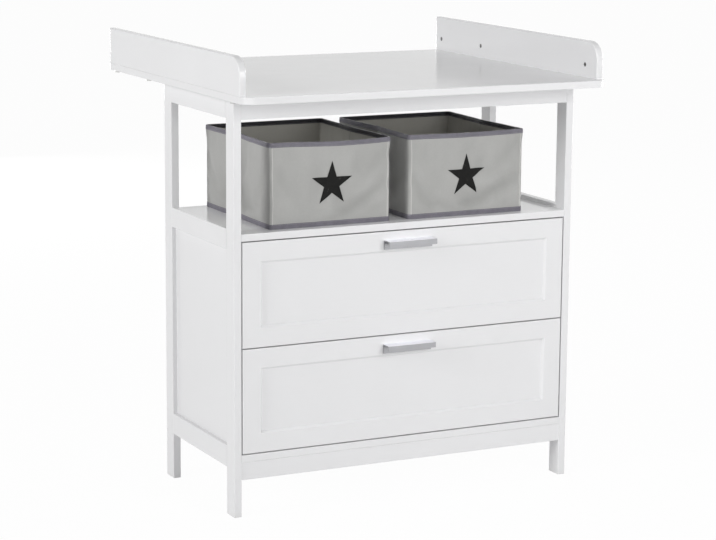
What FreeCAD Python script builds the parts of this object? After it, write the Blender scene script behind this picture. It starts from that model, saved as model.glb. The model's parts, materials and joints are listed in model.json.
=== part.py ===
import FreeCAD
import Part
import Sketcher
import os
from FreeCAD import Placement, Rotation, Vector

# A changing dresser for a nursery: four thin posts, framed sides, a wide changing top with
# a guard on each side, an open bay with two fabric boxes and two drawers on roller runners.
# The dresser stands on z = 0, its front faces -Y, and x = 0 is its middle.
# The origin is at the middle of the changing top's outline, on the floor.

doc = FreeCAD.newDocument("ChangingDresser")


# ---- driving dimensions, in millimetres ----

drivingSizes = {
    # carcass
    "carcassWidth": 840,
    "carcassDepth": 390,
    "postHeight": 916,
    "postWidth": 18,
    "postDepth": 41,
    "edgeRounding": 1.5,
    "crossRailThickness": 16,
    "crossRailSetback": 1,
    "upperRailHeight": 44,
    "shelfHeight": 626,
    "shelfThickness": 16,
    "middleRailHeight": 45,
    "shelfLip": 8,
    "floorBoardHeight": 138.5,
    "floorBoardThickness": 16,
    "plinthHeight": 40,
    "plinthSetback": 2,
    "bottomRailHeight": 48,
    "floorBoardLip": 15.5,
    "sidePanelThickness": 6,
    "sidePanelBackset": 2,
    "backPanelThickness": 3,
    "backPanelInset": 8,
    "grooveDepth": 6,
    "grooveClearance": 0.2,
    "dowelDiameter": 8,
    "dowelLength": 30,
    "dowelBite": 11,
    "dowelSpacing": 22,
    "boardDowelInset": 90,
    # changing top and its guards
    "topDepth": 780,
    "topThickness": 16,
    "topSideOverhang": 24,
    "topFrontOverhang": 108,
    "topCornerRadius": 30,
    "topRearCornerRadius": 6,
    "guardThickness": 16,
    "guardHeight": 82,
    "guardInset": 1,
    "guardSetback": 24,
    "guardCornerRadius": 42,
    "guardRounding": 3,
    "firstBoltFromFront": 75,
    "middleBoltFromFront": 551,
    "lastBoltFromRear": 30,
    "boltDiameter": 6,
    "boltHeadDiameter": 13,
    "boltHeadHeight": 4,
    "boltTipPastNut": 6,
    "nutHeight": 28.5,
    "nutDiameter": 10,
    "nutBackWall": 3.6,
    "nutSink": 0.4,
    "bracketLeg": 28,
    "bracketWidth": 20,
    "bracketThickness": 2,
    "bracketInset": 60,
    "screwDiameter": 3.5,
    "screwHeadDiameter": 7,
    "screwHeadHeight": 0.9,
    "screwLength": 12,
    "screwFromBend": 18,
    # drawers
    "drawerGap": 2.5,
    "drawerFrontThickness": 16,
    "fieldBorder": 42.5,
    "fieldBevel": 5,
    "fieldStep": 0.5,
    "drawerBackClearance": 13,
    "drawerSideThickness": 12,
    "drawerSideDrop": 55,
    "drawerSideLift": 12,
    "drawerFloorThickness": 4,
    "drawerFloorLift": 12,
    "drawerGroove": 5,
    "drawerDowelDiameter": 6,
    "drawerDowelLength": 20,
    "drawerDowelBite": 8,
    "drawerDowelMargin": 30,
    # handles
    "handleWidth": 119,
    "handleHeight": 21,
    "handleReach": 26,
    "handleLip": 12.5,
    "handleWall": 2,
    "handleFlange": 3,
    "handleRounding": 0.6,
    "handleAboveField": 3,
    "handleScrewSpacing": 96,
    "handleScrewDiameter": 4,
    "handleScrewHeadDiameter": 8,
    "handleScrewHeadHeight": 2.5,
    # roller runners
    "runnerSteel": 1.2,
    "runnerFlangeGap": 1.3,
    "slideRise": 14,
    "slideLedge": 12,
    "slideFlangeGap": 2,
    "runnerTopGap": 1.5,
    "rollerDiameter": 20,
    "rollerWidth": 6,
    "rollerWallGap": 3,
    "rollerSlideGap": 2.3,
    "rollerClearance": 0.3,
    "rollerDrop": 2,
    "frontRollerInset": 14,
    "rearRollerInset": 12,
    "pinDiameter": 4,
    "pinShoulderDiameter": 8,
    "pinHeadDiameter": 7,
    "pinHeadHeight": 0.7,
    "runnerScrewInset": 5,
    "runnerScrewDrop": 4.5,
    "slideScrewInset": 60,
    "slideScrewRise": 7,
    # fabric boxes
    "boxWall": 4,
    "boxSetback": 28,
    "boxRearGap": 10,
    "boxLeftGap": 79.5,
    "boxMiddleGap": 48,
    "boxRightGap": 96.5,
    "boxHeadroom": 58,
    "boxClearance": 0.3,
    "insertThickness": 3,
    "insertClearance": 3,
}

sheet = doc.addObject("Spreadsheet::Sheet", "Sizes")
for row, (alias, millimetres) in enumerate(drivingSizes.items(), start=1):
    sheet.set(f"A{row}", alias)
    sheet.set(f"B{row}", str(millimetres))
    sheet.setAlias(f"B{row}", alias)
doc.recompute()


class Size:
    """A length as an expression over the sheet's cells, with the value it has now."""

    def __init__(self, text, value):
        self.text = text
        self.value = value

    def combined(self, other, sign, value):
        return Size(f"({self.text} {sign} {asSize(other).text})", value)

    def __add__(self, other):
        return self.combined(other, "+", self.value + asSize(other).value)

    def __radd__(self, other):
        return asSize(other) + self

    def __sub__(self, other):
        return self.combined(other, "-", self.value - asSize(other).value)

    def __rsub__(self, other):
        return asSize(other) - self

    def __mul__(self, factor):
        return self.combined(factor, "*", self.value * asSize(factor).value)

    def __rmul__(self, factor):
        return asSize(factor) * self

    def __truediv__(self, factor):
        return self.combined(factor, "/", self.value / asSize(factor).value)

    def __neg__(self):
        return 0 - self


def asSize(value):
    return value if isinstance(value, Size) else Size(f"{float(value)}", float(value))


class Cells:
    """The sheet's cells, each under its alias."""

    def __init__(self):
        for alias in drivingSizes:
            setattr(self, alias, Size(f"{sheet.Name}.{alias}", float(sheet.get(alias))))


s = Cells()


# ---- helpers: bodies, sketches and features bound to the sheet ----

axisTurns = {
    "+x": Rotation(Vector(0, 1, 0), 90),
    "-x": Rotation(Vector(0, 1, 0), -90),
    "+y": Rotation(Vector(1, 0, 0), -90),
    "-y": Rotation(Vector(1, 0, 0), 90),
    "+z": Rotation(),
    "-z": Rotation(Vector(1, 0, 0), 180),
}
opposite = {"+x": "-x", "-x": "+x", "+y": "-y", "-y": "+y", "+z": "-z", "-z": "+z"}
parts = []
origins = {}


def bind(thing, path, size):
    thing.setExpression(path, asSize(size).text)


def put(thing, point, turn=None):
    """Places a thing at a point, turned first."""
    if turn is not None:
        thing.Placement = Placement(Vector(), turn)
    for axis, size in zip("xyz", point):
        bind(thing, f"Placement.Base.{axis}", size)


def newBody(label, point, halfTurn=False):
    """A body whose own origin is at a point. With halfTurn it looks the other way round z."""
    body = doc.addObject("PartDesign::Body", label)
    body.Label = label
    put(body, point, Rotation(Vector(0, 0, 1), 180 if halfTurn else 0))
    origins[body.Name] = (point, -1 if halfTurn else 1)
    parts.append(body)
    return body


def toBody(body, point):
    """The same point seen from the body's own origin."""
    origin, sign = origins[body.Name]
    local = [asSize(a) - asSize(b) for a, b in zip(point, origin)]
    return [local[0] * sign, local[1] * sign, local[2]]


def sketchOutline(body, plane, corners):
    """A closed sketch through corners, each tied to the body's origin."""
    sketch = body.newObject("Sketcher::SketchObject", f"{body.Name}_outline")
    planes = [feature for feature in body.Origin.OriginFeatures if feature.Role == plane]
    sketch.AttachmentSupport = [(planes[0], "")]
    sketch.MapMode = "FlatFace"
    corners = [(asSize(u), asSize(v)) for u, v in corners]
    spots = [Vector(u.value, v.value, 0) for u, v in corners]
    for index, spot in enumerate(spots):
        following = (index + 1) % len(spots)
        sketch.addGeometry(Part.LineSegment(spot, spots[following]), False)
    for index in range(len(spots)):
        following = (index + 1) % len(spots)
        sketch.addConstraint(Sketcher.Constraint("Coincident", index, 2, following, 1))
    for index, (u, v) in enumerate(corners):
        for kind, onAxis, size in (("DistanceX", -2, u), ("DistanceY", -1, v)):
            if size.text == "0.0":
                sketch.addConstraint(Sketcher.Constraint("PointOnObject", index, 1, onAxis))
            else:
                number = sketch.addConstraint(
                    Sketcher.Constraint(kind, -1, 1, index, 1, size.value))
                bind(sketch, f"Constraints[{number}]", size)
    return sketch


def rectangle(u, v, width, height):
    """The corners of a rectangle that starts at u, v."""
    u, v = asSize(u), asSize(v)
    right = u + width if u.text != "0.0" else asSize(width)
    top = v + height if v.text != "0.0" else asSize(height)
    return [(u, v), (right, v), (right, top), (u, top)]


def pad(body, sketch, length, backwards=False):
    feature = body.newObject("PartDesign::Pad", f"{body.Name}_pad")
    feature.Profile = sketch
    feature.Reversed = backwards
    bind(feature, "Length", length)


def pocket(body, sketch, depth):
    feature = body.newObject("PartDesign::Pocket", f"{body.Name}_pocket")
    feature.Profile = sketch
    bind(feature, "Length", depth)


def softenEdges(body, size, wanted, kind="Fillet"):
    """A fillet or chamfer on the edges for which wanted is true."""
    doc.recompute()
    base = body.Tip
    names = [f"Edge{number}" for number, edge in enumerate(base.Shape.Edges, start=1)
             if wanted(edge)]
    feature = body.newObject(f"PartDesign::{kind}", f"{body.Name}_{kind.lower()}")
    feature.Base = (base, names)
    bind(feature, "Radius" if kind == "Fillet" else "Size", size)


def runsAlong(axes):
    """A test for straight edges along one of the axes."""
    def test(edge):
        first, last = (vertex.Point for vertex in edge.Vertexes)
        run = (last - first).normalize()
        return any(abs(getattr(run, axis)) > 0.999 for axis in axes)
    return test


def lies(**places):
    """A test for edges that lie at a coordinate, such as y=0, in the body's own frame."""
    def test(edge):
        return all(abs(getattr(vertex.Point, axis) - asSize(place).value) < 0.01
                   for axis, place in places.items() for vertex in edge.Vertexes)
    return test


def both(*tests):
    return lambda edge: all(test(edge) for test in tests)


def board(label, point, lengths):
    """A plain board from its low corner."""
    body = newBody(label, point)
    pad(body, sketchOutline(body, "XY_Plane", rectangle(0, 0, lengths[0], lengths[1])), lengths[2])
    return body


def drill(body, point, axis, diameter, depth):
    """A round hole that starts at a point of the dresser and goes along axis."""
    hole = body.newObject("PartDesign::SubtractiveCylinder", f"{body.Name}_hole")
    if origins[body.Name][1] < 0 and axis[1] != "z":
        axis = opposite[axis]
    put(hole, toBody(body, point), axisTurns[axis])
    bind(hole, "Radius", diameter / 2)
    bind(hole, "Height", depth)


def addPin(body, point, axis, diameter, length):
    """A round pin on a body, from a point of the dresser along axis."""
    pin = body.newObject("PartDesign::AdditiveCylinder", f"{body.Name}_pin")
    if origins[body.Name][1] < 0 and axis[1] != "z":
        axis = opposite[axis]
    put(pin, toBody(body, point), axisTurns[axis])
    bind(pin, "Radius", diameter / 2)
    bind(pin, "Height", length)


def groove(body, point, lengths):
    """A straight groove, a box cut from its low corner."""
    cut = body.newObject("PartDesign::SubtractiveBox", f"{body.Name}_groove")
    put(cut, toBody(body, point), Rotation())
    for path, length in zip(("Length", "Width", "Height"), lengths):
        bind(cut, path, length)


def moved(point, axis, distance):
    """A point moved along an axis such as -y."""
    sign = 1 if axis[0] == "+" else -1
    return [asSize(size) + distance * sign if name == axis[1] else asSize(size)
            for name, size in zip("xyz", point)]


def rod(name, point, axis, diameter, length):
    """A loose cylinder from a point along axis."""
    cylinder = doc.addObject("Part::Cylinder", name)
    put(cylinder, point, axisTurns[axis])
    bind(cylinder, "Radius", diameter / 2)
    bind(cylinder, "Height", length)
    return cylinder


def headed(name, point, axis, head, shank):
    """A bolt or screw: its head stands on a face at point, its shank goes along axis."""
    headDiameter, headHeight = head
    shankDiameter, shankLength = shank
    screw = doc.addObject("Part::Fuse", name)
    screw.Base = rod(f"{name}_head", moved(point, opposite[axis], headHeight), axis,
                     headDiameter, headHeight)
    screw.Tool = rod(f"{name}_shank", point, axis, shankDiameter, shankLength)
    return screw


def group(label, solids):
    """Like pieces kept as separate solids under one label."""
    compound = doc.addObject("Part::Compound", label)
    compound.Label = label
    compound.Links = solids
    parts.append(compound)


# ---- places that the pieces share ----

sides = {"left": -1, "right": 1}
inward = {"left": "+x", "right": "-x"}
outward = {"left": "-x", "right": "+x"}

front = s.topFrontOverhang - s.topDepth / 2
rear = front + s.carcassDepth
halfWidth = s.carcassWidth / 2
innerHalf = halfWidth - s.postWidth
innerWidth = innerHalf * 2
railStart = front + s.postDepth
railLength = s.carcassDepth - s.postDepth * 2
shelfBottom = s.shelfHeight - s.shelfThickness
floorBoardBottom = s.floorBoardHeight - s.floorBoardThickness
plinthBottom = floorBoardBottom - s.plinthHeight
middleRailBottom = s.shelfHeight + s.shelfLip - s.middleRailHeight
bottomRailBottom = s.floorBoardHeight + s.floorBoardLip - s.bottomRailHeight
bottomRailTop = bottomRailBottom + s.bottomRailHeight
upperRailBottom = s.postHeight - s.upperRailHeight
topSurface = s.postHeight + s.topThickness
topHalfWidth = halfWidth + s.topSideOverhang
topFront = front - s.topFrontOverhang
topRear = topFront + s.topDepth
backPanelFront = rear - s.backPanelInset - s.backPanelThickness


def across(side, distance, width=0):
    """The low x of something this wide, whose outer face is at distance from the middle."""
    return -distance if side == "left" else distance - width


# ---- side frames: posts, rails and a recessed panel ----

frames = {}
for side in sides:
    postLow = across(side, halfWidth, s.postWidth)
    for end, low in (("front", front), ("rear", rear - s.postDepth)):
        post = board(f"post_{end}_{side}", (postLow, low, 0),
                     (s.postWidth, s.postDepth, s.postHeight))
        softenEdges(post, s.edgeRounding,
                    lambda edge: runsAlong("z")(edge) or lies(z=0)(edge))
        frames[end, side] = post
    for name, low, height in (("upper", upperRailBottom, s.upperRailHeight),
                              ("middle", middleRailBottom, s.middleRailHeight),
                              ("bottom", bottomRailBottom, s.bottomRailHeight)):
        rail = board(f"side_rail_{name}_{side}", (postLow, railStart, low),
                     (s.postWidth, railLength, height))
        softenEdges(rail, s.edgeRounding, runsAlong("y"))
        frames[name, side] = rail

    # the panel sits in a groove of the posts and rails, set back from their outer faces
    panelLow = across(side, innerHalf + s.sidePanelBackset + s.sidePanelThickness,
                      s.sidePanelThickness)
    panelBottom = bottomRailTop - s.grooveDepth + s.grooveClearance
    panelTop = middleRailBottom + s.grooveDepth - s.grooveClearance
    panelStart = railStart - s.grooveDepth + s.grooveClearance
    panelLength = railLength + (s.grooveDepth - s.grooveClearance) * 2
    board(f"side_panel_{side}", (panelLow, panelStart, panelBottom),
          (s.sidePanelThickness, panelLength, panelTop - panelBottom))
    for body, low, lengths in (
            (frames["front", side], (railStart - s.grooveDepth, bottomRailTop - s.grooveDepth),
             (s.grooveDepth, middleRailBottom - bottomRailTop + s.grooveDepth * 2)),
            (frames["rear", side], (railStart + railLength, bottomRailTop - s.grooveDepth),
             (s.grooveDepth, middleRailBottom - bottomRailTop + s.grooveDepth * 2)),
            (frames["bottom", side], (railStart, bottomRailTop - s.grooveDepth),
             (railLength, s.grooveDepth)),
            (frames["middle", side], (railStart, middleRailBottom),
             (railLength, s.grooveDepth))):
        groove(body, (panelLow, low[0], low[1]), (s.sidePanelThickness, lengths[0], lengths[1]))

    # the back panel slides into a groove on the inner face of each rear post
    groove(frames["rear", side],
           (across(side, innerHalf + s.grooveDepth, s.grooveDepth), backPanelFront,
            s.floorBoardHeight),
           (s.grooveDepth, s.backPanelThickness, shelfBottom - s.floorBoardHeight))


# ---- cross rails, shelf, floor board and back panel ----

upperRails = {}
for end, low in (("front", front + s.crossRailSetback),
                 ("rear", rear - s.crossRailSetback - s.crossRailThickness)):
    rail = board(f"upper_rail_{end}", (-innerHalf, low, upperRailBottom),
                 (innerWidth, s.crossRailThickness, s.upperRailHeight))
    softenEdges(rail, s.edgeRounding, runsAlong("x"))
    upperRails[end] = rail

plinthFront = front + s.plinthSetback
plinth = board("plinth_front", (-innerHalf, plinthFront, plinthBottom),
               (innerWidth, s.crossRailThickness, s.plinthHeight))
softenEdges(plinth, s.edgeRounding, runsAlong("x"))

shelf = board("shelf", (-innerHalf, front, shelfBottom),
              (innerWidth, s.carcassDepth, s.shelfThickness))
softenEdges(shelf, s.edgeRounding, runsAlong("x"))
floorBoard = board("floor_board", (-innerHalf, front, floorBoardBottom),
                   (innerWidth, s.carcassDepth, s.floorBoardThickness))
softenEdges(floorBoard, s.edgeRounding, runsAlong("x"))
board("back_panel",
      (-(innerHalf + s.grooveDepth - s.grooveClearance), backPanelFront, s.floorBoardHeight),
      ((innerHalf + s.grooveDepth - s.grooveClearance) * 2, s.backPanelThickness,
       shelfBottom - s.floorBoardHeight))


# ---- dowels of the frame: each crosses a joint face and fills a hole on both sides ----

dowels = []


def dowel(point, axis, outOf, into, bite):
    """A dowel at a joint face: as deep as bite in outOf, and the rest in into along axis."""
    drill(outOf, point, opposite[axis], s.dowelDiameter, bite)
    drill(into, point, axis, s.dowelDiameter, s.dowelLength - bite)
    dowels.append(rod(f"dowel_{len(dowels) + 1}", moved(point, opposite[axis], bite), axis,
                      s.dowelDiameter, s.dowelLength))


for side, sign in sides.items():
    middleOfPost = (halfWidth - s.postWidth / 2) * sign
    for name, low, height in (("upper", upperRailBottom, s.upperRailHeight),
                              ("middle", middleRailBottom, s.middleRailHeight),
                              ("bottom", bottomRailBottom, s.bottomRailHeight)):
        # the pairs sit above the groove of the middle rail and below that of the bottom rail
        lift = {"upper": 0, "middle": s.grooveDepth / 2, "bottom": -s.grooveDepth / 2}[name]
        for step in (-0.5, 0.5):
            level = low + height / 2 + s.dowelSpacing * step + lift
            dowel((middleOfPost, railStart, level), "+y",
                  frames["front", side], frames[name, side], s.dowelLength / 2)
            dowel((middleOfPost, railStart + railLength, level), "-y",
                  frames["rear", side], frames[name, side], s.dowelLength / 2)
    face = innerHalf * sign
    for end, rail, railFront, low, height in (
            ("front", upperRails["front"], front + s.crossRailSetback,
             upperRailBottom, s.upperRailHeight),
            ("rear", upperRails["rear"], rear - s.crossRailSetback - s.crossRailThickness,
             upperRailBottom, s.upperRailHeight),
            ("front", plinth, plinthFront, plinthBottom, s.plinthHeight)):
        for step in (-0.5, 0.5):
            dowel((face, railFront + s.crossRailThickness / 2,
                   low + height / 2 + s.dowelSpacing * step),
                  inward[side], frames[end, side], rail, s.dowelBite)
    for plank, name, level in ((shelf, "middle", s.shelfHeight - s.shelfThickness / 2),
                               (floorBoard, "bottom",
                                s.floorBoardHeight - s.floorBoardThickness / 2)):
        for place in (front + s.boardDowelInset, rear - s.boardDowelInset):
            dowel((face, place, level), inward[side], frames[name, side], plank, s.dowelBite)
group("frame_dowels", dowels)


# ---- changing top with a guard on each side ----

top = board("changing_top", (-topHalfWidth, topFront, s.postHeight),
            (topHalfWidth * 2, s.topDepth, s.topThickness))
softenEdges(top, s.topCornerRadius, both(runsAlong("z"), lies(y=0)))
softenEdges(top, s.topRearCornerRadius, both(runsAlong("z"), lies(y=s.topDepth)))
softenEdges(top, s.edgeRounding, lambda edge: lies(z=0)(edge) or lies(z=s.topThickness)(edge))

boltPlaces = (topFront + s.firstBoltFromFront, topFront + s.middleBoltFromFront,
              topRear - s.lastBoltFromRear)
boltLength = s.topThickness + s.nutHeight + s.boltTipPastNut
nutLevel = topSurface + s.nutHeight
nutLength = s.guardThickness - s.nutSink - s.nutBackWall
guardBolts = []
guardNuts = []
for side, sign in sides.items():
    outer = topHalfWidth - s.guardInset
    guardFront = topFront + s.guardSetback
    guardLength = s.topDepth - s.guardSetback - s.guardInset
    guard = board(f"guard_{side}", (across(side, outer, s.guardThickness), guardFront, topSurface),
                  (s.guardThickness, guardLength, s.guardHeight))
    softenEdges(guard, s.guardCornerRadius,
                both(runsAlong("x"), lies(y=0, z=s.guardHeight)))
    softenEdges(guard, s.guardRounding,
                lambda edge: not lies(z=0)(edge) and not runsAlong("x")(edge))
    middle = (outer - s.guardThickness / 2) * sign
    innerFace = (outer - s.guardThickness) * sign
    for number, place in enumerate(boltPlaces, start=1):
        below = (middle, place, s.postHeight)
        drill(top, below, "+z", s.boltDiameter, s.topThickness)
        drill(guard, (middle, place, topSurface), "+z", s.boltDiameter,
              s.nutHeight + s.boltTipPastNut)
        drill(guard, (innerFace, place, nutLevel), outward[side], s.nutDiameter,
              nutLength + s.nutSink)
        guardBolts.append(headed(f"guard_bolt_{side}_{number}", below, "+z",
                                 (s.boltHeadDiameter, s.boltHeadHeight),
                                 (s.boltDiameter, boltLength)))
        nut = doc.addObject("Part::Cut", f"guard_nut_{side}_{number}")
        nut.Base = rod(f"guard_nut_{side}_{number}_barrel",
                       moved((innerFace, place, nutLevel), outward[side], s.nutSink),
                       outward[side], s.nutDiameter, nutLength)
        nut.Tool = rod(f"guard_nut_{side}_{number}_thread",
                       (middle, place, topSurface), "+z", s.boltDiameter, s.nutHeight * 2)
        guardNuts.append(nut)
group("guard_bolts", guardBolts)
group("guard_barrel_nuts", guardNuts)


# ---- steel angle brackets that hold the changing top to the upper side rails ----

brackets = []
woodScrews = []
screwHead = (s.screwHeadDiameter, s.screwHeadHeight)
screwShank = (s.screwDiameter, s.screwLength)
for side, sign in sides.items():
    for number, place in enumerate((railStart + s.bracketInset,
                                    railStart + railLength - s.bracketInset), start=1):
        name = f"bracket_{side}_{number}"
        low = place - s.bracketWidth / 2
        upright = doc.addObject("Part::Box", f"{name}_upright")
        put(upright, (across(side, innerHalf, s.bracketThickness), low,
                      s.postHeight - s.bracketLeg))
        flat = doc.addObject("Part::Box", f"{name}_flat")
        put(flat, (across(side, innerHalf, s.bracketLeg), low,
                   s.postHeight - s.bracketThickness))
        for leg, width, height in ((upright, s.bracketThickness, s.bracketLeg),
                                   (flat, s.bracketLeg, s.bracketThickness)):
            bind(leg, "Length", width)
            bind(leg, "Width", s.bracketWidth)
            bind(leg, "Height", height)
        angle = doc.addObject("Part::Fuse", f"{name}_angle")
        angle.Base = upright
        angle.Tool = flat
        drilled = doc.addObject("Part::MultiFuse", f"{name}_holes")
        drilled.Shapes = [
            rod(f"{name}_side_hole", (innerHalf * sign, place, s.postHeight - s.screwFromBend),
                inward[side], s.screwDiameter, s.bracketThickness),
            rod(f"{name}_top_hole", ((innerHalf - s.screwFromBend) * sign, place,
                                     s.postHeight - s.bracketThickness),
                "+z", s.screwDiameter, s.bracketThickness)]
        bracket = doc.addObject("Part::Cut", name)
        bracket.Base = angle
        bracket.Tool = drilled
        brackets.append(bracket)

        sideFace = ((innerHalf - s.bracketThickness) * sign, place,
                    s.postHeight - s.screwFromBend)
        topFace = ((innerHalf - s.screwFromBend) * sign, place,
                   s.postHeight - s.bracketThickness)
        woodScrews.append(headed(f"{name}_side_screw", sideFace, outward[side],
                                 screwHead, screwShank))
        woodScrews.append(headed(f"{name}_top_screw", topFace, "+z", screwHead, screwShank))
        drill(frames["upper", side], (innerHalf * sign, place, s.postHeight - s.screwFromBend),
              outward[side], s.screwDiameter, s.screwLength - s.bracketThickness)
        drill(top, ((innerHalf - s.screwFromBend) * sign, place, s.postHeight), "+z",
              s.screwDiameter, s.screwLength - s.bracketThickness)
group("top_brackets", brackets)


# ---- drawers on roller runners ----

drawerSpace = shelfBottom - s.floorBoardHeight
drawerHeight = (drawerSpace - s.drawerGap * 3) / 2
drawerWidth = innerWidth - s.drawerGap * 2
drawerFieldDepth = s.fieldBevel + s.fieldStep
runnerSpace = s.rollerWallGap + s.rollerWidth + s.rollerSlideGap + s.runnerSteel
boxHalf = innerHalf - runnerSpace
boxStart = front + s.drawerFrontThickness
boxEnd = backPanelFront - s.drawerBackClearance
boxDepth = boxEnd - boxStart
rollerRadius = s.rollerDiameter / 2


def rollerPair(label, place, level):
    """A left and a right roller on one axis."""
    rollers = []
    for side, sign in sides.items():
        start = ((innerHalf - s.rollerWallGap) * sign, place, level)
        roller = doc.addObject("Part::Cut", f"{label}_{side}")
        roller.Base = rod(f"{label}_{side}_tyre", start, inward[side], s.rollerDiameter,
                          s.rollerWidth)
        roller.Tool = rod(f"{label}_{side}_bore", start, inward[side],
                          s.pinDiameter + s.rollerClearance * 2, s.rollerWidth)
        rollers.append(roller)
    group(label, rollers)


def rollerPin(body, face, axis, place, level, shoulder):
    """A pin that stands on a steel face: shoulder, axle and a head past the roller."""
    start = (face, place, level)
    addPin(body, start, axis, s.pinShoulderDiameter, shoulder)
    reach = shoulder + s.rollerWidth + s.rollerClearance * 2
    addPin(body, start, axis, s.pinDiameter, reach)
    addPin(body, moved(start, axis, reach), axis, s.pinHeadDiameter, s.pinHeadHeight)


def makeDrawer(name, low):
    """One drawer: low is the height of its front's lower edge."""
    sideBottom = low + s.drawerSideLift
    floorLow = sideBottom + s.drawerFloorLift
    frontTop = low + drawerHeight
    sideHeight = drawerHeight - s.drawerSideLift - s.drawerSideDrop

    # the front: a board with a recessed field and a bevel round it
    panel = board(f"{name}_front", (-drawerWidth / 2, front, low),
                  (drawerWidth, s.drawerFrontThickness, drawerHeight))
    inner = s.fieldBorder + s.fieldBevel
    field = sketchOutline(panel, "XZ_Plane", rectangle(
        inner, inner, drawerWidth - inner * 2, drawerHeight - inner * 2))
    pocket(panel, field, drawerFieldDepth)
    outermost = (s.fieldBorder.value, drawerWidth.value - s.fieldBorder.value)
    softenEdges(panel, s.fieldBevel, both(lies(y=0), lambda edge: all(
        outermost[0] < vertex.Point.x < outermost[1] for vertex in edge.Vertexes)), "Chamfer")
    softenEdges(panel, s.edgeRounding, both(lies(y=0), lambda edge: any(
        lies(**{axis: place})(edge) for axis, place in
        (("x", 0), ("x", drawerWidth), ("z", 0), ("z", drawerHeight)))))

    # the box behind it, with its floor in grooves
    boxSides = {}
    for side in sides:
        plank = board(f"{name}_side_{side}",
                      (across(side, boxHalf, s.drawerSideThickness), boxStart, sideBottom),
                      (s.drawerSideThickness, boxDepth, sideHeight))
        softenEdges(plank, s.edgeRounding, both(runsAlong("y"), lies(z=sideHeight)))
        groove(plank, (across(side, boxHalf - s.drawerSideThickness + s.drawerGroove,
                              s.drawerGroove), boxStart, floorLow),
               (s.drawerGroove, boxDepth, s.drawerFloorThickness))
        boxSides[side] = plank
    insideHalf = boxHalf - s.drawerSideThickness
    floorHalf = insideHalf + s.drawerGroove - s.grooveClearance
    groove(panel, (-(insideHalf + s.drawerGroove), boxStart - s.drawerGroove, floorLow),
           ((insideHalf + s.drawerGroove) * 2, s.drawerGroove, s.drawerFloorThickness))
    board(f"{name}_floor",
          (-floorHalf, boxStart - s.drawerGroove + s.grooveClearance, floorLow),
          (floorHalf * 2, boxDepth + s.drawerGroove - s.grooveClearance,
           s.drawerFloorThickness))
    backLow = floorLow + s.drawerFloorThickness
    backHeight = sideBottom + sideHeight - backLow
    back = board(f"{name}_back", (-insideHalf, boxEnd - s.drawerSideThickness, backLow),
                 (insideHalf * 2, s.drawerSideThickness, backHeight))
    softenEdges(back, s.edgeRounding, both(runsAlong("x"), lies(z=backHeight)))

    # small dowels hold the sides to the front and the back to the sides
    boxDowels = []
    for side, sign in sides.items():
        middle = (boxHalf - s.drawerSideThickness / 2) * sign
        for level in (backLow + s.drawerDowelMargin,
                      sideBottom + sideHeight - s.drawerDowelMargin):
            joints = (((middle, boxStart, level), "+y", panel, boxSides[side]),
                      ((insideHalf * sign, boxEnd - s.drawerSideThickness / 2, level),
                       inward[side], boxSides[side], back))
            for point, axis, outOf, into in joints:
                drill(outOf, point, opposite[axis], s.drawerDowelDiameter, s.drawerDowelBite)
                drill(into, point, axis, s.drawerDowelDiameter,
                      s.drawerDowelLength - s.drawerDowelBite)
                boxDowels.append(rod(f"{name}_dowel_{len(boxDowels) + 1}",
                                     moved(point, opposite[axis], s.drawerDowelBite), axis,
                                     s.drawerDowelDiameter, s.drawerDowelLength))
    group(f"{name}_dowels", boxDowels)

    # the handle: an extruded metal profile with a flange, a hood and a lip
    handleTop = frontTop - s.fieldBorder + s.handleAboveField + s.handleHeight
    handle = newBody(f"{name}_handle", (-s.handleWidth / 2, front, handleTop - s.handleHeight))
    lipBottom = s.handleHeight - s.handleLip
    hoodBottom = s.handleHeight - s.handleWall
    profile = sketchOutline(handle, "YZ_Plane", [
        (0, 0), (-s.handleFlange, 0), (-s.handleFlange, hoodBottom),
        (s.handleWall - s.handleReach, hoodBottom), (s.handleWall - s.handleReach, lipBottom),
        (-s.handleReach, lipBottom), (-s.handleReach, s.handleHeight), (0, s.handleHeight)])
    pad(handle, profile, s.handleWidth)
    softenEdges(handle, s.handleRounding, both(runsAlong("x"), lambda edge: all(
        vertex.Point.y < -s.handleFlange.value for vertex in edge.Vertexes)))
    handleScrews = []
    screwLevel = handleTop - s.handleHeight / 2
    for sign in (-0.5, 0.5):
        point = (s.handleScrewSpacing * sign, boxStart, screwLevel)
        drill(panel, point, "-y", s.handleScrewDiameter, s.drawerFrontThickness)
        drill(handle, (s.handleScrewSpacing * sign, front, screwLevel), "-y",
              s.handleScrewDiameter, s.handleFlange)
        handleScrews.append(headed(f"{name}_handle_screw_{len(handleScrews) + 1}", point, "-y",
                                   (s.handleScrewHeadDiameter, s.handleScrewHeadHeight),
                                   (s.handleScrewDiameter,
                                    s.drawerFrontThickness + s.handleFlange)))
    group(f"{name}_handle_screws", handleScrews)

    # the runners: a slide on the drawer rolls in a channel on the carcass
    flangeLevel = sideBottom + s.slideRise
    frontAxle = flangeLevel - s.rollerClearance - rollerRadius
    rearAxle = flangeLevel - s.rollerDrop - rollerRadius
    trackLevel = rearAxle - rollerRadius - s.rollerClearance
    channelTop = flangeLevel + s.runnerSteel + s.runnerTopGap
    frontRollerPlace = boxStart + s.frontRollerInset
    rearRollerPlace = boxEnd - s.rearRollerInset
    slideScrews = []
    for side, sign in sides.items():
        right = side == "right"
        wall = innerHalf * sign

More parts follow.
